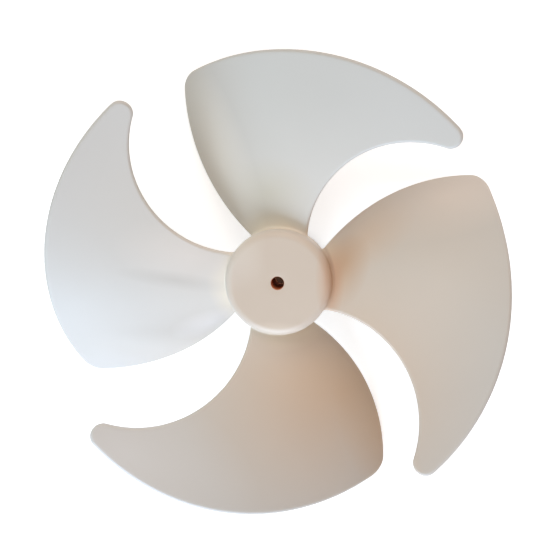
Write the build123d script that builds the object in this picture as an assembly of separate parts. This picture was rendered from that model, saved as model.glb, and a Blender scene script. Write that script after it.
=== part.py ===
"""Four-bladed axial fan wheel of a small appliance, moulded in one piece.

A cup-shaped hub, closed in front and open behind, carries four sickle-shaped blades. Each blade is a
cambered sheet of even thickness: its leading edge is swept forward and stands in front of the hub, and
its trailing edge falls away behind the hub.

Frame: the origin is on the shaft axis at the hub's front face, +Z points out of that face, and the
first blade lies about +Y. Sizes are in millimetres, angles in degrees round +Z from +X.
"""

import os
from math import cos, radians, sin, tan

from build123d import *

# Hub
hub_diameter = 24.6
hub_height = 12.5
hub_band = 2.5  # straight part behind the front face, before the skirt tapers
hub_taper = 5.0  # angle of the skirt
hub_edge = 2.0  # radius round the front face
hub_face = 2.0  # thickness of the front
hub_wall = 1.5  # thickness of the skirt at the rear mouth
core_draft = 1.0  # angle at which the hollow widens to the rear

# Shaft bore, its boss and the ribs that hold the boss
bore_diameter = 3.0
bore_chamfer = 0.3  # lead-in for the shaft
boss_diameter = 8.0
boss_recess = 1.0  # from the rear mouth in to the boss
rib_count = 4
rib_thickness = 1.0
rib_recess = 2.5  # from the rear mouth in to the ribs

# Blade outline, seen along the axis
blade_count = 4
tip_radius = 55.2  # where the rim and the leading edge would meet in a point
tip_angle = 25.5
tip_round = 2.8
rim_bow = 16.3  # height of the rim's curve over the line from the corner to the tip
corner_radius = 52.7  # where the rim and the trailing edge would meet in a point
corner_angle = 117.2
corner_round = 4.8
lead_root_angle = 58.5
lead_bow = 15.2  # depth of the leading edge's hollow curve
trail_root_angle = 126.9
trail_bow = 4.8  # height of the trailing edge's full curve

# Blade heights along the axis
blade_thickness = 1.4
root_front_step = 3.0  # from the hub's face back to the leading edge at the hub
root_rear_step = 2.8  # from the hub's rear mouth forward to the trailing edge at the hub
tip_rise = 11.4  # how far the tip stands in front of the hub's face
tip_fall = 30.4  # how far the blade's outer end falls from the tip to the trailing corner
level_angle = 15.0  # the surface leaves the level here, just ahead of the tip
camber = 4.2  # power of the angle by which it falls

hub_radius = hub_diameter / 2
mouth_radius = hub_radius - (hub_height - hub_band) * tan(radians(hub_taper))
root_fall = hub_height - root_front_step - root_rear_step
gap_angle = (trail_root_angle + lead_root_angle + 360 / blade_count) / 2  # between two blades' roots


def polar(radius, angle, height=0):
    """A point at a radius and an angle round the axis."""
    return Vector(radius * cos(radians(angle)), radius * sin(radians(angle)), height)


def spread(first, last, count):
    """Evenly spaced values from first to last."""
    return [first + (last - first) * i / (count - 1) for i in range(count)]


def rim_edge():
    """The blade's rim seen along the axis, from the trailing corner to the tip."""
    return SagittaArc(polar(corner_radius, corner_angle), polar(tip_radius, tip_angle), rim_bow)


def blade_outline():
    """The blade seen along the axis: trailing edge, rim and leading edge, closed inside the hub."""
    rim = rim_edge()
    corner = rim @ 0
    tip = rim @ 1
    trail_edge = SagittaArc(polar(hub_radius, trail_root_angle), corner, trail_bow)
    lead_edge = SagittaArc(tip, polar(hub_radius, lead_root_angle), -lead_bow)
    trail_end = trail_edge @ 0 - (trail_edge % 0) * 2 * hub_wall
    lead_end = lead_edge @ 1 + (lead_edge % 1) * 2 * hub_wall
    outline = make_face(
        [
            Line(trail_end, trail_edge @ 0),
            trail_edge,
            rim,
            lead_edge,
            Line(lead_edge @ 1, lead_end),
            Line(lead_end, trail_end),
        ]
    )
    outline = fillet(outline.vertices().sort_by_distance(corner)[0], corner_round)
    return fillet(outline.vertices().sort_by_distance(tip)[0], tip_round)


def front_height(radius, angle):
    """Height of the blade's front surface.

    Along the radius the level edge of the surface rises in a straight line from the hub to the tip. From
    the level angle on, the surface falls with a power of the angle, and the fall is whole on the line
    from the trailing edge's root to its corner.
    """
    along = (radius - hub_radius) / (tip_radius - hub_radius)
    level = -root_front_step + (tip_rise + root_front_step) * along
    fall = root_fall + (tip_fall - root_fall) * along
    last_angle = trail_root_angle + (corner_angle - trail_root_angle) * along
    return level - fall * ((angle - level_angle) / (last_angle - level_angle)) ** camber


def blade_front():
    """A smooth face through points of the blade's front surface, larger than the blade all round."""
    margin = 1.1
    radial_count = 14
    angular_count = 24
    rim = rim_edge()
    farthest = max((rim @ share).length for share in spread(0, 1, radial_count))
    radii = spread(mouth_radius / 2, margin * farthest, radial_count)
    angles = spread(level_angle, trail_root_angle + 2 * level_angle, angular_count)
    rows = [[polar(radius, angle, front_height(radius, angle)) for angle in angles] for radius in radii]
    return Face.make_surface_from_array_of_points(rows, tol=0.005, min_deg=3, max_deg=5)


def make_blade():
    """One blade: its front surface, trimmed to the outline and thickened to the rear."""
    reach = 2 * (tip_rise + tip_fall + hub_height)
    column = extrude(blade_outline(), reach, both=True)
    front = (blade_front() & column).face()
    return Solid.thicken(front, -blade_thickness)


def make_hub():
    """The hub's outside: a straight band with a rounded front edge, and a tapered skirt."""
    outside = make_face(
        Polyline(
            (0, 0),
            (hub_radius, 0),
            (hub_radius, -hub_band),
            (mouth_radius, -hub_height),
            (0, -hub_height),
            close=True,
        )
    )
    outside = fillet(outside.vertices().sort_by_distance((hub_radius, 0))[0], hub_edge)
    return Rot(0, 0, gap_angle) * revolve(Plane.XZ * outside, Axis.Z)


def make_hollow():
    """The space behind the hub's front, round the boss and between the ribs."""
    mouth = mouth_radius - hub_wall
    depth = hub_height - hub_face
    floor = mouth - depth * tan(radians(core_draft))
    section = make_face(
        Polyline(
            (0, -hub_face),
            (floor, -hub_face),
            (mouth, -hub_height),
            (0, -hub_height),
            close=True,
        )
    )
    hollow = revolve(Plane.XZ * section, Axis.Z)
    upward = (Align.CENTER, Align.CENTER, Align.MIN)
    boss = Pos(0, 0, boss_recess - hub_height) * Cylinder(boss_diameter / 2, hub_height, align=upward)
    outward = (Align.MIN, Align.CENTER, Align.MIN)
    rib = Pos(0, 0, rib_recess - hub_height) * Box(hub_radius, rib_thickness, hub_height, align=outward)
    return hollow - boss - [spot * rib for spot in PolarLocations(0, rib_count)]


def make_bore():
    """The shaft bore, with a lead-in at the boss's end, where the shaft goes in."""
    bore_radius = bore_diameter / 2
    boss_end = boss_recess - hub_height
    section = make_face(
        Polyline(
            (0, 0),
            (bore_radius, 0),
            (bore_radius, boss_end + bore_chamfer),
            (bore_radius + bore_chamfer, boss_end),
            (0, boss_end),
            close=True,
        )
    )
    return revolve(Plane.XZ * section, Axis.Z)


def make_wheel():
    """Hub and blades as one moulding, hollowed from behind and bored through."""
    blade = make_blade()
    wheel = make_hub() + [spot * blade for spot in PolarLocations(0, blade_count)]
    return (wheel - make_hollow() - make_bore()).solid()


os.makedirs("parts", exist_ok=True)
fan_wheel = make_wheel()
fan_wheel.label = "fan_wheel"
export_step(fan_wheel, "parts/fan_wheel.step")
size = fan_wheel.bounding_box().size
print(f"fan_wheel: {size.X:.1f} x {size.Y:.1f} x {size.Z:.1f} mm, {fan_wheel.volume:.0f} mm3")
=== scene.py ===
# %% [markdown]
# # A moulded fan wheel, dressed in Blender
#
# The part is the four-bladed wheel of a small appliance fan, moulded in one piece in off-white plastic. The CAD
# model gives its sizes. It could be shown as it is, but its blades have square edges, and light breaks hard on
# them. So this lesson works the same wheel out again as one smooth skin, with the rounded edges and roots that a
# mould gives, and lays it face up on a white table, as in the photograph.

import bmesh
import bpy
import numpy as np
from mathutils import Matrix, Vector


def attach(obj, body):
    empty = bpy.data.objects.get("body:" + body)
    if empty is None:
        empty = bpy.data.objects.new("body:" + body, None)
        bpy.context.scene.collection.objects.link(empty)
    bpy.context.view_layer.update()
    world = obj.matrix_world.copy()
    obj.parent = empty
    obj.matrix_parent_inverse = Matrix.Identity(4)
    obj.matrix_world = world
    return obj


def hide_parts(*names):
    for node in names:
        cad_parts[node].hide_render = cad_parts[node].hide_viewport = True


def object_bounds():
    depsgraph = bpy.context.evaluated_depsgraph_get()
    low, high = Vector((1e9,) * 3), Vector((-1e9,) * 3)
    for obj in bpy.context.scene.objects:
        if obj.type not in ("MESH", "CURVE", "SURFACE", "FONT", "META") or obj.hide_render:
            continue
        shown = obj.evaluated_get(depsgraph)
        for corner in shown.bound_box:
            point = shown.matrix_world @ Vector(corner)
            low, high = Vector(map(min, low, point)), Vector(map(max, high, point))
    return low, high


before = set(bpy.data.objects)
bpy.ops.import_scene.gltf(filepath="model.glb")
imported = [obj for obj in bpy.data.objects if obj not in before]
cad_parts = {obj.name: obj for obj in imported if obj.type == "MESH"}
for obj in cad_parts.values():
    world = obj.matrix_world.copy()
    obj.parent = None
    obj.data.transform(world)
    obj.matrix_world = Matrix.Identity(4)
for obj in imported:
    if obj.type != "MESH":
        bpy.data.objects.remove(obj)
cad_low, cad_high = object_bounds()
print("CAD box in metres:", [round(v, 4) for v in cad_low], [round(v, 4) for v in cad_high])

# %% [markdown]
# ## The sizes
#
# The script can't read the CAD source, so it repeats the sizes it needs, in millimetres and in degrees round the
# axis. Only the rounding radii are new here: the roots of the blades and the hub's sharp rims. The edges of the
# blades are rounded by half their thickness.

# %% Sizes of the wheel
hub_diameter, hub_height, hub_band, hub_taper, hub_edge = 24.6, 12.5, 2.5, 5.0, 2.0
hub_face, hub_wall, core_draft = 2.0, 1.5, 1.0
bore_diameter, bore_chamfer, boss_diameter, boss_recess = 3.0, 0.3, 8.0, 1.0
rib_thickness, rib_recess = 1.0, 2.5
blade_count = 4
tip_radius, tip_angle, tip_round, rim_bow = 55.2, 25.5, 2.8, 16.3
corner_radius, corner_angle, corner_round = 52.7, 117.2, 4.8
lead_root_angle, lead_bow, trail_root_angle, trail_bow = 58.5, 15.2, 126.9, 4.8
blade_thickness, root_front_step, root_rear_step = 1.4, 3.0, 2.8
tip_rise, tip_fall, level_angle, camber = 11.4, 30.4, 15.0, 4.2
root_round, rim_soft = 0.8, 0.25

hub_radius = hub_diameter / 2
taper_slope = np.tan(np.radians(hub_taper))
mouth_radius = hub_radius - (hub_height - hub_band) * taper_slope
bore_radius, boss_radius = bore_diameter / 2, boss_diameter / 2
root_fall = hub_height - root_front_step - root_rear_step
edge_radius = blade_thickness / 2
pitch = 360 / blade_count
last_gap = (trail_root_angle + lead_root_angle + pitch) / 2
first_gap = last_gap - pitch
print(f"hub {hub_diameter} mm across, blades {blade_thickness} mm thick, sharp tips {tip_radius} mm from the axis")

# %% [markdown]
# ## The blade's front surface
#
# A fan blade is a bent sheet. It could be pulled into shape by hand from a subdivided plane, but then it would only
# roughly follow the CAD model. Seen along the axis no part of the sheet hides another, so its front can be written
# as a height over the plan, by the same formula as in the CAD model. The normal comes from the slopes of that
# height, worked out by small steps to either side.


# %% Height and normal of the front surface
def front_height(radius, angle):
    """Level line rising with the radius, less a fall that grows as a power of the angle past the level angle."""
    along = (radius - hub_radius) / (tip_radius - hub_radius)
    level = -root_front_step + (tip_rise + root_front_step) * along
    fall = root_fall + (tip_fall - root_fall) * along
    last_angle = trail_root_angle + (corner_angle - trail_root_angle) * along
    return level - fall * ((angle - level_angle) / (last_angle - level_angle)) ** camber


def bearing(points):
    """Angle in degrees of points round the axis: the arc tangent of y over x."""
    return np.degrees(np.arctan2(points[..., 1], points[..., 0]))


def plan_height(plan):
    """The front height at points (x, y): the same formula at their radius and angle."""
    return front_height(np.hypot(plan[..., 0], plan[..., 1]), bearing(plan))


def front_point(plan):
    """Points of the front surface over points of the plan: (x, y, height)."""
    return np.concatenate([plan, plan_height(plan)[..., None]], axis=-1)


def unit(vectors):
    """Vectors divided by their lengths."""
    return vectors / np.linalg.norm(vectors, axis=-1, keepdims=True)


def front_normal(plan, step=0.01):
    """Unit normal of the front surface: (-slope in x, -slope in y, 1), with slopes by central differences."""
    slopes = [(plan_height(plan + d) - plan_height(plan - d)) / (2 * step) for d in step * np.eye(2)]
    return unit(np.stack([-slopes[0], -slopes[1], np.ones_like(slopes[0])], axis=-1))


samples = front_point(np.array([[0.0, hub_radius], [0.0, corner_radius]]))
print("front of the first blade near its root and its rim:", samples.round(1).tolist())

# %% [markdown]
# ## The blade's outline
#
# Seen along the axis the blade is a sickle. A Bezier curve could be traced by eye, but the CAD model's outline is
# made of circles, and the same ones give the same outline. Three are large: a full trailing edge, the rim and a
# hollow leading edge. Two small ones round the corner and the tip. Circles that touch have centres a sum or a
# difference of radii apart, so each small circle's centre is where two larger circles cross.


# %% Circles and arcs in plan
def polar(radius, angle):
    """Points (x, y) at a radius and an angle in degrees."""
    turn = np.radians(angle)
    return np.stack([radius * np.cos(turn), radius * np.sin(turn)], axis=-1)


def bowed_circle(start, end, bow):
    """Centre and radius of the circle whose arc stands off the chord by the bow, to the left if it is positive.

    The centre lies on the chord's middle line, at the bow less (half chord squared + bow squared) / (2 bow).
    """
    half = (end - start) / 2
    reach = (half @ half + bow**2) / (2 * bow)
    left = np.array([-half[1], half[0]]) / np.hypot(*half)
    return start + half + left * (bow - reach), abs(reach)


def crossing(centre_a, radius_a, centre_b, radius_b, near):
    """The point nearer to a given one where two circles cross, by the lengths of the triangle they make."""
    apart = centre_b - centre_a
    length = np.hypot(*apart)
    along = (length**2 + radius_a**2 - radius_b**2) / (2 * length)
    across = np.sqrt(radius_a**2 - along**2) * np.array([-apart[1], apart[0]]) / length
    foot = centre_a + apart * along / length
    return min((foot + across, foot - across), key=lambda point: np.hypot(*(point - near)))


def arc(centre, radius, start, end, count):
    """Points on a circle from the direction of one point to that of another, the short way round."""
    first, last = (np.arctan2(*(point - centre)[::-1]) for point in (start, end))
    sweep = (last - first + np.pi) % (2 * np.pi) - np.pi
    return centre + polar(radius, np.degrees(first + sweep * np.linspace(0, 1, count)))


print("a quarter circle in three points:", arc(np.zeros(2), 1.0, polar(1, 0), polar(1, 90), 3).round(2).tolist())

# %% The five circles of the outline
corner, tip = polar(corner_radius, corner_angle), polar(tip_radius, tip_angle)
trail_root, lead_root = polar(hub_radius, trail_root_angle), polar(hub_radius, lead_root_angle)
trail_c, trail_r = bowed_circle(trail_root, corner, trail_bow)
lead_c, lead_r = bowed_circle(tip, lead_root, -lead_bow)
rim_c, rim_r = bowed_circle(corner, tip, rim_bow)
round_c = crossing(trail_c, trail_r - corner_round, rim_c, rim_r - corner_round, corner)
nose_c = crossing(rim_c, rim_r - tip_round, lead_c, lead_r + tip_round, tip)
print(f"radii in mm: trailing edge {trail_r:.1f}, rim {rim_r:.1f}, leading edge {lead_r:.1f}")

# %% The outline as one dense line, from the trailing root round to the leading root
edge_count, rim_count, round_count = 1200, 1600, 200
inside_hub = 0.75 * hub_radius
trail_in = crossing(trail_c, trail_r, np.zeros(2), inside_hub, trail_root)
lead_in = crossing(lead_c, lead_r, np.zeros(2), inside_hub, lead_root)
corner_ends = round_c + (round_c - trail_c), round_c + (round_c - rim_c)
outline = np.concatenate(
    [
        arc(trail_c, trail_r, trail_in, round_c, edge_count)[:-1],
        arc(round_c, corner_round, *corner_ends, round_count)[:-1],
        arc(rim_c, rim_r, round_c, nose_c, rim_count)[:-1],
        arc(nose_c, tip_round, nose_c + (nose_c - rim_c), lead_c, round_count)[:-1],
        arc(lead_c, lead_r, nose_c, lead_in, edge_count),
    ]
)
print(f"outline of {len(outline)} points, {np.hypot(*outline.T).max():.2f} mm at the farthest")

# %% [markdown]
# ## Room for the rounded edge
#
# The free edge of the moulded sheet is round. A Bevel modifier could round it, but on a thin bent sheet its strips
# come out uneven. Here the edge is a half circle as wide as the sheet is thick. Its centre line lies half a
# thickness inside the outline, measured in the sheet. At each point of the outline the normal and the way along the
# edge give the way out of the sheet, as their cross product.


# %% Set the outline in by the edge's radius
def edge_frame(plan):
    """Normal of the front surface and unit way out of the sheet along an edge: normal times way along."""
    normal = front_normal(plan)
    along = unit(np.gradient(front_point(plan), axis=0))
    return normal, unit(np.cross(normal, along))


set_in = outline - edge_radius * edge_frame(outline)[1][:, :2]
set_in_out = edge_frame(set_in)[1]
set_in_steps = np.linalg.norm(np.diff(front_point(set_in), axis=0), axis=1)
set_in_length = np.concatenate([[0], np.cumsum(set_in_steps)])
set_in_radius, set_in_angle = np.hypot(*set_in.T), bearing(set_in)
print(f"edge line is {set_in_length[-1]:.1f} mm long")

# %% [markdown]
# ## A grid over the blade
#
# The blade needs an even net of four-sided faces, so that light runs over it without a break. Filling the outline
# with triangles would be quicker and would show. Four sides bound the net instead: root, leading edge, rim and
# trailing edge. A Coons patch fills them: it adds the two blends between opposite sides and takes away the blend of
# the four corners. Points sit closer together near the ends of each side, where the corner and the tip turn quickly.

# %% Four sides of the patch
columns, rows, turns = 72, 64, 9
root_reach = hub_radius + 2.0
root_count = 1000
trail_part, lead_part = slice(None, root_count), slice(None, -root_count, -1)


def eased(count, ease=0.55):
    """Values from 0 to 1 that are closer together at both ends: even steps less a part of a sine."""
    even = np.linspace(0, 1, count)
    return even - ease * np.sin(2 * np.pi * even) / (2 * np.pi)


def along_edge(values, lengths):
    """Values of the edge line read off at lengths along it, by linear interpolation."""
    return np.stack([np.interp(lengths, set_in_length, column) for column in values.T], axis=-1)


corner_at, tip_at = (set_in_length[np.argmin(np.hypot(*(set_in - end).T))] for end in (corner, tip))
trail_at, lead_at = (
    np.interp(root_reach, set_in_radius[part], set_in_length[part]) for part in (trail_part, lead_part)
)
trail_lengths = trail_at + (corner_at - trail_at) * eased(rows)
rim_lengths = tip_at + (corner_at - tip_at) * eased(columns)
lead_lengths = lead_at + (tip_at - lead_at) * eased(rows)
trail_side, rim_side, lead_side = (along_edge(set_in, s) for s in (trail_lengths, rim_lengths, lead_lengths))
root_side = polar(root_reach, np.linspace(bearing(lead_side[0]), bearing(trail_side[0]), columns))
side_lengths = np.diff([trail_at, corner_at, tip_at, lead_at]).round(1)
print("trailing edge, rim and leading edge in mm:", side_lengths.tolist())


# %% The patch between the sides
def coons(root, rim, lead, trail):
    """Blend of root and rim, plus blend of lead and trail, less the blend of the four corners."""
    u = np.linspace(0, 1, root.shape[0])[None, :, None]
    v = np.linspace(0, 1, lead.shape[0])[:, None, None]
    across = (1 - u) * lead[:, None] + u * trail[:, None]
    out = (1 - v) * root[None] + v * rim[None]
    ends = (1 - v) * ((1 - u) * root[0] + u * root[-1]) + v * ((1 - u) * rim[0] + u * rim[-1])
    return across + out - ends


patch = coons(root_side, rim_side, lead_side, trail_side)
step_across, step_out = np.diff(patch, axis=1)[:-1], np.diff(patch, axis=0)[:, :-1]
turning = step_across[..., 0] * step_out[..., 1] - step_across[..., 1] * step_out[..., 0]
folded = min(np.sum(turning < 0), np.sum(turning > 0))
print(f"patch of {rows} by {columns} points, {folded} of {turning.size} cells folded over")

# %% [markdown]
# ## Front, rear and edge of the blade
#
# The moulded sheet has the same thickness all over. A Solidify modifier could give it, but not the rounded edge. So
# the rear is the front moved back by the thickness along the normal. The edge strip turns through half a circle,
# from the front's normal, through the way out of the sheet, to the rear.

# %% Front, rear and edge grids
front_grid = front_point(patch)
rear_grid = front_grid - blade_thickness * front_normal(patch)
half_turn = np.radians(np.linspace(90, -90, turns))


def square_to(vectors, normal):
    """Unit vectors with their part along a normal taken away."""
    return unit(vectors - normal * np.sum(vectors * normal, axis=-1, keepdims=True))


def edge_ring(plan, out):
    """Half circles round the edge.

    The centre lies half a thickness behind the front. Point = centre + radius * (sine * normal + cosine * way out).
    """
    normal = front_normal(plan)
    out = square_to(out, normal)
    centre = front_point(plan) - edge_radius * normal
    sine, cosine = np.sin(half_turn)[:, None], np.cos(half_turn)[:, None]
    return centre[..., None, :] + edge_radius * (sine * normal[..., None, :] + cosine * out[..., None, :])


edge_lengths = np.concatenate([lead_lengths, rim_lengths[1:], trail_lengths[-2::-1]])
edge_plan = np.concatenate([lead_side, rim_side[1:], trail_side[-2::-1]])
edge_grid = edge_ring(edge_plan, along_edge(set_in_out, edge_lengths))
print("edge strip", edge_grid.shape[:2], "lowest point", edge_grid[..., 2].min().round(2))

# %% [markdown]
# ## The root
#
# Where a blade grows out of the hub, the mould leaves a round of constant radius. Joining blade and hub with a
# Boolean and bevelling the seam could make it, but such a seam often tears. Here rings run round the root, and each
# keeps one distance from the hub's side. Nearer than the radius, a ring is moved out from the sheet by the radius
# less the height of a circle, so the skin turns until it lies along the hub.


# %% Points round a blade near the hub
def side_radius(height):
    """Radius of the hub's side at a height: straight behind the face, then smaller by the taper."""
    return hub_radius - np.maximum(-height - hub_band, 0) * taper_slope


def side_distance(points):
    """Distance from the hub's side: radius less the side's radius at that height."""
    return np.hypot(points[..., 0], points[..., 1]) - side_radius(points[..., 2])


def section(radius, across, turn):
    """Points round a blade at a radius, and the way out of the skin there.

    across runs from 0 at the leading edge to 1 at the trailing edge, and turn from 90 degrees on the front to -90
    on the rear. Point = front - half thickness * normal + half thickness * (sine * normal + cosine * way out).
    """
    parts = lead_part, trail_part
    ends = [np.interp(radius, set_in_radius[part], set_in_angle[part]) for part in parts]
    outs = [
        np.stack([np.interp(radius, set_in_radius[part], column[part]) for column in set_in_out.T], axis=-1)
        for part in parts
    ]
    plan = polar(radius, ends[0] + (ends[1] - ends[0]) * across)
    normal = front_normal(plan)
    out = square_to(np.where(across[..., None] < 0.5, outs[0], outs[1]), normal)
    skin = np.sin(turn)[..., None] * normal + np.cos(turn)[..., None] * out
    return front_point(plan) - edge_radius * normal + edge_radius * skin, skin


print(f"the hub's side is {side_radius(0):.2f} mm from the axis in front, {side_radius(-hub_height):.2f} mm behind")

# %% A loop round the root
cap = half_turn[1:-1]
even = np.linspace(0, 1, columns)
loop_across = np.concatenate([even, np.ones_like(cap), even[::-1], np.zeros_like(cap)])
loop_turn = np.concatenate([np.full(columns, np.pi / 2), cap, np.full(columns, -np.pi / 2), cap[::-1]])
start_distance = side_distance(section(np.full_like(loop_across, root_reach), loop_across, loop_turn)[0])
print(f"loop of {len(loop_turn)} points, {start_distance.min():.2f} to {start_distance.max():.2f} mm from the hub")

# %% Rings from the blade to the hub
run_in_count, fillet_count, passes = 4, 9, 30
fillet_turn = np.radians(np.linspace(0, 90, fillet_count))
run_in = np.linspace(0, 1, run_in_count)[:-1, None]
fillet_distance = root_round * (1 - np.sin(fillet_turn))[:, None]
ring_distance = np.concatenate(
    [
        start_distance + (root_round - start_distance) * run_in,
        np.broadcast_to(fillet_distance, (fillet_count, len(loop_across))),
    ]
)
ring_lift = np.concatenate([np.zeros(len(run_in)), root_round * (1 - np.cos(fillet_turn))])[:, None]

ring_across, ring_turn = (np.broadcast_to(v, ring_distance.shape) for v in (loop_across, loop_turn))
ring_radius = np.full(ring_distance.shape, root_reach)
for _ in range(passes):
    ring_radius = ring_radius + ring_distance - side_distance(section(ring_radius, ring_across, ring_turn)[0])
ring_points, ring_skin = section(ring_radius, ring_across, ring_turn)
left_over = np.abs(side_distance(ring_points) - ring_distance).max()
print(f"{len(ring_points)} rings, at most {left_over:.1e} mm from their distance")

# %% Lift the rings off the sheet
radial = unit(ring_points * [1, 1, 0])
side_normal = unit(radial - taper_slope * np.array([0, 0, 1]))
lifted = ring_points + ring_lift[..., None] * square_to(ring_skin, side_normal)
lifted_radius = np.where(
    ring_lift > 0,
    side_radius(lifted[..., 2]) + ring_distance,
    np.hypot(lifted[..., 0], lifted[..., 1]),
)
root_grid = np.concatenate([unit(lifted[..., :2]) * lifted_radius[..., None], lifted[..., 2:]], axis=-1)
root_height = root_grid[-1, :, 2]
print("root rings", root_grid.shape[:2], "heights", root_height.min().round(2), root_height.max().round(2))

# %% [markdown]
# ## The hub's side round a root
#
# The hub's side is a plain cone, but each blade leaves a slanting gap in it. A quarter of the side belongs to each
# blade. Its grid runs from the root's last ring out to a frame of angle and height, by straight blends of angle and
# height, and every point is put on the side's radius. The root's ends lie near two corners of the frame. So the
# frame's columns are further apart there, and the two loops are turned against each other by as many points, which
# keeps the blends from crossing.

# %% The side from a root to its frame
side_top, side_foot = -hub_edge, rim_soft - hub_height
wide_columns, wide_reach, blend_count = 4, 16.0, 9
spaced = np.concatenate(
    [
        np.linspace(0, wide_reach, wide_columns + 1)[:-1],
        np.linspace(wide_reach, pitch, columns - wide_columns),
    ]
)
frame_height = np.linspace(side_top, side_foot, turns)[1:-1]
loop_angle = np.concatenate(
    [first_gap + spaced, np.full(turns - 2, last_gap), last_gap - spaced, np.full(turns - 2, first_gap)]
)
loop_height = np.concatenate(
    [np.full(columns, side_top), frame_height, np.full(columns, side_foot), frame_height[::-1]]
)
loop_angle, loop_height = (np.roll(loop, -wide_columns) for loop in (loop_angle, loop_height))
root_angle = bearing(root_grid[-1])
blend = np.linspace(0, 1, blend_count)[:, None]
side_angle = root_angle + (loop_angle - root_angle) * blend
side_height = root_height + (loop_height - root_height) * blend
side_grid = np.concatenate([polar(side_radius(side_height), side_angle), side_height[..., None]], axis=-1)
print("side grid", side_grid.shape[:2])

# %% [markdown]
# ## Hub front, bore, boss and ribs
#
# The rest of the hub is round, so it could be a lathed curve with ribs cut in by Booleans. Here it is one profile
# carried round the axis: from the side over the rounded front edge, across the face, through the bore, over the boss
# and out to the rear mouth. Behind the face the profile has two forms. In a pocket it goes down to the floor, and on
# a rib it stays on the rib's top. Neighbouring columns of the two forms share a plane, and that is the rib's side.


# %% Profile rows of the hub's front and bore
def rounded(centre, radius, first, last, count):
    """Points (radius, height) of an arc of the profile between two angles in degrees."""
    return np.asarray(centre) + polar(radius, np.linspace(first, last, count))


def straight(start, end, count):
    """Points (radius, height) of a straight run of the profile, the last one left out."""
    return np.linspace(start, end, count + 1)[:-1]


boss_end, rib_top = boss_recess - hub_height, rib_recess - hub_height
bore_soft, face_margin, bore_margin = 0.12, 0.15, 0.3
front_profile = np.concatenate(
    [
        rounded((hub_radius - hub_edge, -hub_edge), hub_edge, 0, 90, 13),
        straight((hub_radius - hub_edge - face_margin, 0), (bore_radius + bore_margin, 0), 6),
        rounded((bore_radius + bore_soft, -bore_soft), bore_soft, 90, 180, 4),
        straight((bore_radius, -bore_margin), (bore_radius, boss_end + bore_chamfer), 5),
        [(bore_radius, boss_end + bore_chamfer), (bore_radius + bore_chamfer, boss_end)],
    ]
)
print("rows of the front and the bore:", len(front_profile))

# %% Profile rows of the boss, a pocket, a rib and the mouth
draft_slope = np.tan(np.radians(core_draft))
mouth_inner = mouth_radius - hub_wall
floor_radius = mouth_inner - (hub_height - hub_face) * draft_slope
rib_reach = mouth_inner - rib_recess * draft_slope
soft_count = 5
boss_profile = rounded((boss_radius - rim_soft, boss_end + rim_soft), rim_soft, 270, 360, soft_count)
pocket_profile = np.concatenate(
    [
        straight((boss_radius, rib_top), (boss_radius, -hub_face), 6),
        straight((boss_radius, -hub_face), (floor_radius, -hub_face), 8),
        straight((floor_radius, -hub_face), (rib_reach, rib_top), 6),
        [(rib_reach, rib_top)],
    ]
)
rib_profile = np.linspace((boss_radius, rib_top), (rib_reach, rib_top), len(pocket_profile))
mouth_inside = rounded((mouth_inner + rim_soft, side_foot), rim_soft, 180, 270, soft_count)
mouth_outside = rounded((side_radius(side_foot) - rim_soft, side_foot), rim_soft, 270, 360, soft_count)
print("rows of the boss, the pocket and each side of the mouth:", len(boss_profile), len(pocket_profile), soft_count)

# %% Angles of the columns
per_quarter = columns - 1
column = np.arange(blade_count * per_quarter + 1)
quarter_turn = pitch * (column // per_quarter)
front_angle = first_gap + quarter_turn + spaced[column % per_quarter]
mouth_angle = last_gap + quarter_turn - spaced[::-1][column % per_quarter]
rib_columns, first_rib_angle = 6, 90
rib_first = int(round((first_rib_angle - first_gap) / pitch * per_quarter - (rib_columns - 1) / 2))
rib_place = (column - rib_first) % per_quarter
rib_angle = first_rib_angle + pitch * ((column - rib_first) // per_quarter)
on_rib = rib_place < rib_columns


def rib_bearing(radius):
    """Angle of each column: on a rib by its sideways step, in a pocket evenly between the sides of two ribs."""
    side = np.degrees(np.arcsin(rib_thickness / 2 / radius))
    step = np.clip(rib_place / (rib_columns - 1), 0, 1) - 0.5
    on_top = np.degrees(np.arcsin(step * rib_thickness / radius))
    share = (rib_place - rib_columns) / (per_quarter - rib_columns - 1)
    return rib_angle + np.where(on_rib, on_top, side + (pitch - 2 * side) * share)


print(f"{len(column)} columns round the hub, {on_rib.sum()} of them on ribs")


# %% Carry the profile round the axis
def carried(radius, height, angle):
    """Points of a profile carried round: (radius cos angle, radius sin angle, height)."""
    plan = polar(radius, angle)
    return np.concatenate([plan, np.broadcast_to(height, plan.shape[:-1])[..., None]], axis=-1)


def all_round(profile):
    """Rows of a profile that are the same in every column."""
    return np.broadcast_to(profile[:, None], (len(profile), len(column), 2))


ribbed_profile = np.where(on_rib[:, None], rib_profile[:, None], pocket_profile[:, None])
ribbed_rows = np.concatenate([all_round(boss_profile), ribbed_profile, all_round(mouth_inside)])
ribbed_radius, ribbed_height = ribbed_rows[..., 0], ribbed_rows[..., 1]
hub_grid = np.concatenate(
    [
        carried(front_profile[:, :1], front_profile[:, 1:], front_angle),
        carried(ribbed_radius, ribbed_height, rib_bearing(ribbed_radius)),
        carried(mouth_outside[:, :1], mouth_outside[:, 1:], mouth_angle),
    ]
)
print("hub grid", hub_grid.shape[:2])

# %% [markdown]
# ## One skin
#
# The real wheel is one moulding, so it is one closed skin here and not a set of pieces that touch. The blade's grids
# are turned round the axis four times, and points that meet are merged. Then the faces are turned outwards. Edges
# sharper than a set angle stay crisp, and all others are shaded smooth.


# %% Gather the grids
def grid_faces(shape, closed=False):
    """Quads of a grid of points, row by row; a closed grid joins its last column to its first."""
    index = np.arange(shape[0] * shape[1]).reshape(shape[:2])
    if closed:
        index = np.concatenate([index, index[:, :1]], axis=1)
    return np.stack([index[:-1, :-1], index[:-1, 1:], index[1:, 1:], index[1:, :-1]], axis=-1).reshape(-1, 4)


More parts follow.
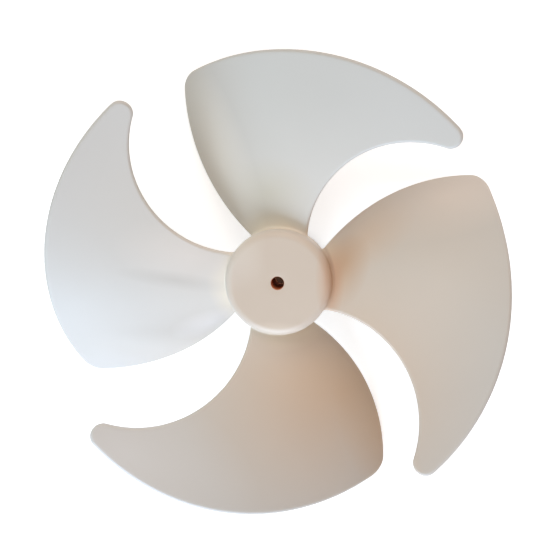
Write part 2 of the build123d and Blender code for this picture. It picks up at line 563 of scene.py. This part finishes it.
def turned(points, angle):
    """Points turned round the axis by an angle in degrees: (x cos - y sin, x sin + y cos, z)."""
    c, s = np.cos(np.radians(angle)), np.sin(np.radians(angle))
    return points @ np.array([[c, s, 0], [-s, c, 0], [0, 0, 1]])


mm = 0.001
blade_grids = [(front_grid, False), (rear_grid, False), (edge_grid, False), (root_grid, True), (side_grid, True)]
all_grids = [(turned(g, k * pitch), closed) for k in range(blade_count) for g, closed in blade_grids]
all_grids.append((hub_grid, False))
first_index = np.cumsum([0] + [g.shape[0] * g.shape[1] for g, _ in all_grids])
points = np.concatenate([g.reshape(-1, 3) for g, _ in all_grids]) * mm
faces = np.concatenate([grid_faces(g.shape, closed) + at for (g, closed), at in zip(all_grids, first_index)])
print(f"{len(all_grids)} grids, {len(points)} points, {len(faces)} faces")

# %% Join them into the wheel
merge_distance, sliver_length, crisp_angle = 2e-6, 1e-7, 40
wheel_mesh = bpy.data.meshes.new("fan_wheel_moulding")
wheel_mesh.from_pydata(points, [], faces)
skin = bmesh.new()
skin.from_mesh(wheel_mesh)
bmesh.ops.remove_doubles(skin, verts=skin.verts, dist=merge_distance)
bmesh.ops.dissolve_degenerate(skin, edges=skin.edges, dist=sliver_length)
bmesh.ops.recalc_face_normals(skin, faces=skin.faces)
open_edges = sum(len(e.link_faces) != 2 for e in skin.edges)
volume = skin.calc_volume(signed=True) / mm**3
skin.to_mesh(wheel_mesh)
skin.free()
wheel_mesh.polygons.foreach_set("use_smooth", np.ones(len(wheel_mesh.polygons), bool))
wheel_mesh.set_sharp_from_angle(angle=np.radians(crisp_angle))
wheel = bpy.data.objects.new("fan_wheel_moulding", wheel_mesh)
bpy.context.scene.collection.objects.link(wheel)
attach(wheel, "root")
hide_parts("fan_wheel")
print(f"wheel of {len(wheel_mesh.polygons)} faces, {open_edges} open edges, {volume:.0f} mm3")

# %% [markdown]
# ## Ivory plastic
#
# The plastic is off-white with a satin moulded skin, and its tone drifts over the wheel: more yellow on the hub,
# greyer at the rims. Warm bounce light and warm shade towards the lower right are painted into the same yellow tone,
# over some real yellowing, and patches of light and shade are painted in too. A painted picture could hold that, but
# it would need an unwrapped skin and would blur close up. Here every tone is worked out from the place on the wheel,
# in
# metres, by a few small helpers: a ramp, a mix of two colours, the larger or the product of two values, and a soft
# patch.

# %% Material and helpers for its values
plastic = bpy.data.materials.new("ivory_plastic")
plastic.use_nodes = True
nodes, links = plastic.node_tree.nodes, plastic.node_tree.links
shader = nodes["Principled BSDF"]
wheel_point = nodes.new("ShaderNodeTexCoord").outputs["Object"]


def ramped(value, start, end, top=1.0, foot=0.0):
    """A value that goes evenly from its foot at the start to its top at the end, and stays there."""
    tree = value.id_data
    node = tree.nodes.new("ShaderNodeMapRange")
    for name, number in (("From Min", start), ("From Max", end), ("To Min", foot), ("To Max", top)):
        node.inputs[name].default_value = number
    tree.links.new(value, node.inputs["Value"])
    return node.outputs["Result"]


def mixed(factor, first, second):
    """A colour that goes from the first to the second as the factor goes from 0 to 1."""
    tree = factor.id_data
    node = tree.nodes.new("ShaderNodeMix")
    node.data_type = "RGBA"
    tree.links.new(factor, node.inputs["Factor"])
    for value, socket in ((first, node.inputs["A"]), (second, node.inputs["B"])):
        if isinstance(value, tuple):
            socket.default_value = (*value, 1)
        else:
            tree.links.new(value, socket)
    return node.outputs["Result"]


def joined(operation, first, second):
    """One value from two: MAXIMUM gives the larger of them, MULTIPLY their product."""
    tree = first.id_data
    node = tree.nodes.new("ShaderNodeMath")
    node.operation = operation
    tree.links.new(first, node.inputs[0])
    tree.links.new(second, node.inputs[1])
    return node.outputs[0]


print("material", plastic.name, "starts with", len(nodes), "nodes")


# %% Helpers for places on the wheel
def length_of(vector):
    """The length of a vector: the root of the sum of its squares."""
    node = nodes.new("ShaderNodeVectorMath")
    node.operation = "LENGTH"
    links.new(vector, node.inputs[0])
    return node.outputs["Value"]


def soft_patch(centre, half_size, turn=0.0, strength=1.0):
    """A value that falls evenly from its strength at a centre to 0 at the edge of an ellipsoid round it."""
    local = nodes.new("ShaderNodeMapping")
    local.vector_type = "TEXTURE"
    local.inputs["Location"].default_value = centre
    local.inputs["Rotation"].default_value = (0, 0, np.radians(turn))
    local.inputs["Scale"].default_value = half_size
    links.new(wheel_point, local.inputs["Vector"])
    return ramped(length_of(local.outputs["Vector"]), 1.0, 0.0, strength)


def noise(scale, detail, roughness):
    """Random values between 0 and 1 that change smoothly over the wheel."""
    node = nodes.new("ShaderNodeTexNoise")
    for name, number in (("Scale", scale), ("Detail", detail), ("Roughness", roughness)):
        node.inputs[name].default_value = number
    links.new(wheel_point, node.inputs["Vector"])
    return node.outputs["Fac"]


flat = nodes.new("ShaderNodeVectorMath")
flat.operation = "MULTIPLY"
flat.inputs[1].default_value = (1, 1, 0)
links.new(wheel_point, flat.inputs[0])
axis_distance = length_of(flat.outputs["Vector"])
split = nodes.new("ShaderNodeSeparateXYZ")
links.new(wheel_point, split.inputs["Vector"])
height = split.outputs["Z"]
print("distance from the axis and height are ready,", len(nodes), "nodes")

# %% [markdown]
# ## Fresh and yellowing plastic, painted warm light and shade, greyer rims
#
# Old white plastic yellows unevenly. One tone for all would look like new paint, so two tones are mixed: fresh and
# yellowing, each with faint broad clouds. The hub is more yellow. The same yellow, stronger, is painted as warm
# bounce light over a wide patch at the lower right and as warm shade over the low trailing edges, over some real
# yellowing there. The outer parts of the blades are greyer. A paler ring of painted light lies behind the hub's face
# at the roots.
# It lifts the shade that the hub casts there, which is lighter in the photograph.

# %% Broad tones
through = 1.0  # a half size in metres far beyond the wheel, for patches that reach through all heights
clouds = noise(45, 3, 0.5)
# Painted warm bounce light over the lower right and painted warm shade on the low trailing edges, in the hub's
# yellow, over some real yellowing
painted_warm_bounce_side = soft_patch((0.016, -0.027, 0), (0.038, 0.034, through))
painted_warm_shade_low_edge = ramped(height, 0.0, -0.060)
on_hub = ramped(axis_distance, 0.0135, 0.0115, 0.38)
yellowing_and_painted_warmth = joined("MAXIMUM", joined("MAXIMUM", painted_warm_bounce_side, painted_warm_shade_low_edge), on_hub)
fresh = mixed(clouds, (0.61, 0.605, 0.575), (0.66, 0.655, 0.625))
yellowed_and_warm_lit = mixed(clouds, (0.64, 0.48, 0.335), (0.70, 0.53, 0.385))
tone = mixed(yellowing_and_painted_warmth, fresh, yellowed_and_warm_lit)

to_rim = ramped(axis_distance, 0.022, 0.058, 0.6)
tone = mixed(to_rim, tone, (0.52, 0.535, 0.535))
near_hub, behind_face = ramped(axis_distance, 0.0170, 0.0130, 0.65), ramped(height, -0.0022, -0.0035)
tone = mixed(joined("MULTIPLY", near_hub, behind_face), tone, (0.81, 0.72, 0.58))
print("broad tones set,", len(nodes), "nodes")

# %% [markdown]
# ## Soft patches
#
# The tone changes in patches a few centimetres long, and most are painted light and shade. Some of the paler ones
# are painted light, where the photograph is lighter than this scene's light makes it. The tan trailing edge below,
# the tan by the right root and the brown on the hub's right side are painted warm shade, the grey streak on the left
# blade is painted shade, and a pale patch on the hub's lower edge is a painted highlight. The top blade has a
# darker, more yellow root. A noise texture would put patches anywhere, so each one is placed one by one. It is an
# ellipsoid with a centre and half sizes in metres, a turn in degrees, a strength and a colour.

# %% Patches of tone
patches = [
    # Top blade: greyer rim, darker and more yellow root, painted light along the trailing edge
    ((0.014, 0.044, 0), (0.046, 0.024, through), 0, 0.45, (0.50, 0.51, 0.49)),
    ((-0.0025, 0.0205, 0), (0.012, 0.0085, through), 0, 1.0, (0.59, 0.57, 0.495)),
    ((-0.0138, 0.0260, 0), (0.027, 0.0080, through), -72, 0.8, (0.81, 0.79, 0.72)),
    # Right blade: painted light on the upper edge
    ((0.038, 0.019, 0), (0.024, 0.009, through), 15, 0.7, (0.80, 0.73, 0.67)),
    # Bottom blade: cooler tip
    ((-0.034, -0.039, 0), (0.034, 0.018, through), -30, 0.9, (0.69, 0.71, 0.725)),
    # Left blade: painted light on the root, a grey streak of painted shade, painted light lifting a shadow on the
    # lower edge
    ((-0.020, 0.006, 0), (0.018, 0.009, through), -10, 0.8, (0.74, 0.72, 0.69)),
    ((-0.0238, 0.0001, 0), (0.0145, 0.0024, through), -10, 0.5, (0.48, 0.47, 0.44)),
    ((-0.0170, -0.0110, 0), (0.010, 0.0036, through), 17, 0.8, (0.80, 0.78, 0.765)),
    # Right blade: painted light over the middle
    ((0.037, 0.000, 0), (0.022, 0.024, through), 0, 0.4, (0.72, 0.675, 0.615)),
    # Bottom blade: painted warm shade on the trailing edge
    ((0.0235, -0.037, 0), (0.009, 0.026, through), 20, 0.8, (0.65, 0.475, 0.32)),
    # Right blade: painted warm shade of the hub on the trailing edge by the hub and on the root
    ((0.020, 0.010, 0), (0.013, 0.007, through), 35, 0.5, (0.72, 0.56, 0.42)),
    ((0.0150, 0.003, -0.006), (0.0065, 0.012, 0.006), 0, 0.9, (0.58, 0.42, 0.28)),
    # Hub: painted shade on the right side, painted highlight on the lower edge
    ((0.0118, 0.001, -0.0025), (0.0035, 0.011, 0.006), 0, 1.0, (0.60, 0.38, 0.25)),
    ((-0.001, -0.0115, -0.001), (0.010, 0.0028, 0.003), 0, 0.9, (0.82, 0.75, 0.66)),
]
for centre, half_size, turn, strength, colour in patches:
    tone = mixed(soft_patch(centre, half_size, turn, strength), tone, colour)
print(len(patches), "patches set,", len(nodes), "nodes")

# %% [markdown]
# ## The painted contact shadow beside the hub, and the bore
#
# In the photograph a thin brown line runs where the right blade meets the hub, and the bore is brown inside. Both
# could be painted by hand. Here the line is painted contact shadow, a patch cut off close to the hub's side, and the
# bore is everything nearer to the axis than its own radius.

# %% Painted contact shadow and bore
# Painted contact shadow: a thin brown line where the right blade meets the hub's side
contact_shadow_patch = soft_patch((0.012, 0.003, -0.006), (0.012, 0.014, 0.0060), 0, 0.7)
contact_shadow_band = ramped(axis_distance, 0.0132, 0.0125)
tone = mixed(joined("MULTIPLY", contact_shadow_patch, contact_shadow_band), tone, (0.30, 0.17, 0.10))
bore_border = 0.00162, 0.00152
tone = mixed(ramped(axis_distance, *bore_border), tone, (0.56, 0.20, 0.08))
links.new(tone, shader.inputs["Base Color"])
print("colour done,", len(nodes), "nodes")

# %% [markdown]
# ## Satin skin
#
# The mould leaves a fine grain. It could be cut into the mesh, but at a few hundredths of a millimetre it only
# changes how light scatters. So a fine noise varies the roughness and gives a very shallow bump. The hub is a little
# smoother than the blades, and the bore is dull.

# %% Roughness and bump
grain = noise(2600, 2, 0.6)
blade_rough, hub_rough, bore_rough, grain_rough = 0.47, 0.33, 0.85, 0.10
plain_rough = ramped(axis_distance, 0.0115, 0.0135, blade_rough, hub_rough)
rough = nodes.new("ShaderNodeMath")
rough.operation = "MULTIPLY_ADD"
rough.inputs[1].default_value = grain_rough
links.new(grain, rough.inputs[0])
links.new(joined("MAXIMUM", ramped(axis_distance, *bore_border, bore_rough), plain_rough), rough.inputs[2])
links.new(rough.outputs[0], shader.inputs["Roughness"])

bump = nodes.new("ShaderNodeBump")
bump.inputs["Strength"].default_value = 0.06
bump.inputs["Distance"].default_value = 0.00005
links.new(grain, bump.inputs["Height"])
links.new(bump.outputs["Normal"], shader.inputs["Normal"])
shader.inputs["Specular IOR Level"].default_value = 0.5
wheel_mesh.materials.append(plastic)
print("material", plastic.name, "with", len(nodes), "nodes")

# %% [markdown]
# ## A white table
#
# The photograph shows the wheel cut out on pure white. More light would bleach the plastic, so the table glows
# instead, only for rays that see it directly: from the camera, or by a mirror or glass. The wheel isn't lit by that
# glow, and its shadow still shows. Under the hub the glow stops and the table has painted shade there: a dark brown
# mark that fades out. It is seen through the bore, which looks dark in the photograph, and from the side it sinks
# into the hub's shadow.

# %% Table
floor_z, table_half = cad_low.z, 3.0
table_corners = [(x * table_half, y * table_half, floor_z) for x, y in ((-1, -1), (1, -1), (1, 1), (-1, 1))]
table_mesh = bpy.data.meshes.new("table")
table_mesh.from_pydata(table_corners, [], [(0, 1, 2, 3)])
table = bpy.data.objects.new("table", table_mesh)
bpy.context.scene.collection.objects.link(table)
print(f"table {2 * table_half:.0f} m wide, {-floor_z / mm:.1f} mm behind the hub's face")


# %% Paint and glow of the table
def seen_directly(tree):
    """1 for rays from the camera, mirrors or glass, and 0 for rays that carry light to a surface."""
    path = tree.nodes.new("ShaderNodeLightPath").outputs
    mirrored = joined("MAXIMUM", path["Is Camera Ray"], path["Is Glossy Ray"])
    return joined("MAXIMUM", mirrored, path["Is Transmission Ray"])


paper = bpy.data.materials.new("white_table")
paper.use_nodes = True
table_nodes, table_links = paper.node_tree.nodes, paper.node_tree.links
table_point = table_nodes.new("ShaderNodeTexCoord").outputs["Object"]


def away_from(x, y, start, end, foot=0.0):
    """A value that goes from its foot, at the start distance from a place on the table, to 1 at the end distance."""
    node = table_nodes.new("ShaderNodeVectorMath")
    node.operation = "DISTANCE"
    node.inputs[1].default_value = (x, y, floor_z)
    table_links.new(table_point, node.inputs[0])
    return ramped(node.outputs["Value"], start, end, foot=foot)


# Painted shade: a dark brown mark under the hub, seen through the bore, fading out into the table's colour
off_painted_shade = away_from(-0.00135, -0.00187, 0.0017, 0.0105)
paint = mixed(off_painted_shade, (0.115, 0.055, 0.033), (0.78, 0.80, 0.82))
glow = joined("MULTIPLY", away_from(0, 0, 0.10, 0.40, 0.58), away_from(0, 0, 0.005, 0.012))
glow = joined("MULTIPLY", glow, seen_directly(paper.node_tree))
table_shader = table_nodes["Principled BSDF"]
table_shader.inputs["Roughness"].default_value = 0.9
table_shader.inputs["Specular IOR Level"].default_value = 0.1
table_shader.inputs["Emission Color"].default_value = (1, 1, 1, 1)
table_links.new(paint, table_shader.inputs["Base Color"])
table_links.new(glow, table_shader.inputs["Emission Strength"])
table_mesh.materials.append(paper)
print("material", paper.name, "with", len(table_nodes), "nodes")

# %% [markdown]
# ## Room light and lamps
#
# The photograph has mixed light: cool from a window at the lower left, weak and neutral from above, and a warm room
# all round. A ready-made studio picture could light the scene, but no image is used here. A plain warm world stands
# for the room, with a white backdrop for rays that see it directly. Three square soft lamps do the rest.

# %% World
scene = bpy.context.scene
scene.view_settings.view_transform = "Standard"
world = bpy.data.worlds.new("studio")
world.use_nodes = True
world_nodes, world_links = world.node_tree.nodes, world.node_tree.links
room = world_nodes["Background"]
room.inputs["Color"].default_value = (1.0, 0.72, 0.51, 1)
room.inputs["Strength"].default_value = 0.41
backdrop = world_nodes.new("ShaderNodeBackground")
backdrop.inputs["Color"].default_value = (1, 1, 1, 1)
either = world_nodes.new("ShaderNodeMixShader")
world_links.new(seen_directly(world.node_tree), either.inputs["Fac"])
world_links.new(room.outputs[0], either.inputs[1])
world_links.new(backdrop.outputs[0], either.inputs[2])
world_links.new(either.outputs[0], world_nodes["World Output"].inputs["Surface"])
scene.world = world
print("world", world.name, "with", len(world_nodes), "nodes")


# %% Lamps
def soft_lamp(name, place, size, power, colour):
    """A square area lamp at a place in metres, turned to face the wheel."""
    data = bpy.data.lights.new(name, "AREA")
    data.shape, data.size, data.energy, data.color = "SQUARE", size, power, colour
    lamp = bpy.data.objects.new(name, data)
    lamp.location = place
    lamp.rotation_mode = "QUATERNION"
    lamp.rotation_quaternion = lamp.location.to_track_quat("Z", "Y")
    scene.collection.objects.link(lamp)
    print(f"lamp {name}: {size} m wide, {power} W, {lamp.location.length:.2f} m away")


soft_lamp("window", (-0.2, -0.85, 0.31), 0.7, 11.3, (0.68, 0.82, 1.0))
soft_lamp("ceiling", (0.1, 0.65, 0.55), 0.8, 3.9, (1.0, 0.95, 0.93))
soft_lamp("left_sky", (-0.45, 0.0, 0.30), 0.4, 0.45, (0.40, 0.88, 1.0))

# %% [markdown]
# ## The camera
#
# The photograph looks down on the wheel, almost along its axis, from about half a metre. The camera could be nudged
# by eye, but two tilts, a distance and a small shift were found by fitting the blades' outlines, so they are given
# as numbers. The two turns make one matrix, and its rows are the camera's own axes.

# %% Camera
tilt_x, tilt_y = np.radians(7.366), np.radians(-5.511)
turn_x = np.array([[1, 0, 0], [0, np.cos(tilt_x), -np.sin(tilt_x)], [0, np.sin(tilt_x), np.cos(tilt_x)]])
turn_y = np.array([[np.cos(tilt_y), 0, np.sin(tilt_y)], [0, 1, 0], [-np.sin(tilt_y), 0, np.cos(tilt_y)]])
axes = turn_x @ turn_y
aim, offset = np.array([0, 0, -1.791]), np.array([-0.274, 1.194, 450.0])
matrix = np.eye(4)
matrix[:3, :3] = axes.T
matrix[:3, 3] = (axes.T @ offset + aim) * mm
camera_data = bpy.data.cameras.new("camera")
camera_data.lens, camera_data.sensor_width = 126.97, 36
camera_data.clip_start, camera_data.clip_end = 0.01, 20
camera = bpy.data.objects.new("camera", camera_data)
camera.matrix_world = Matrix(matrix)
scene.collection.objects.link(camera)
scene.camera = camera
print("camera in metres:", matrix[:3, 3].round(4).tolist())
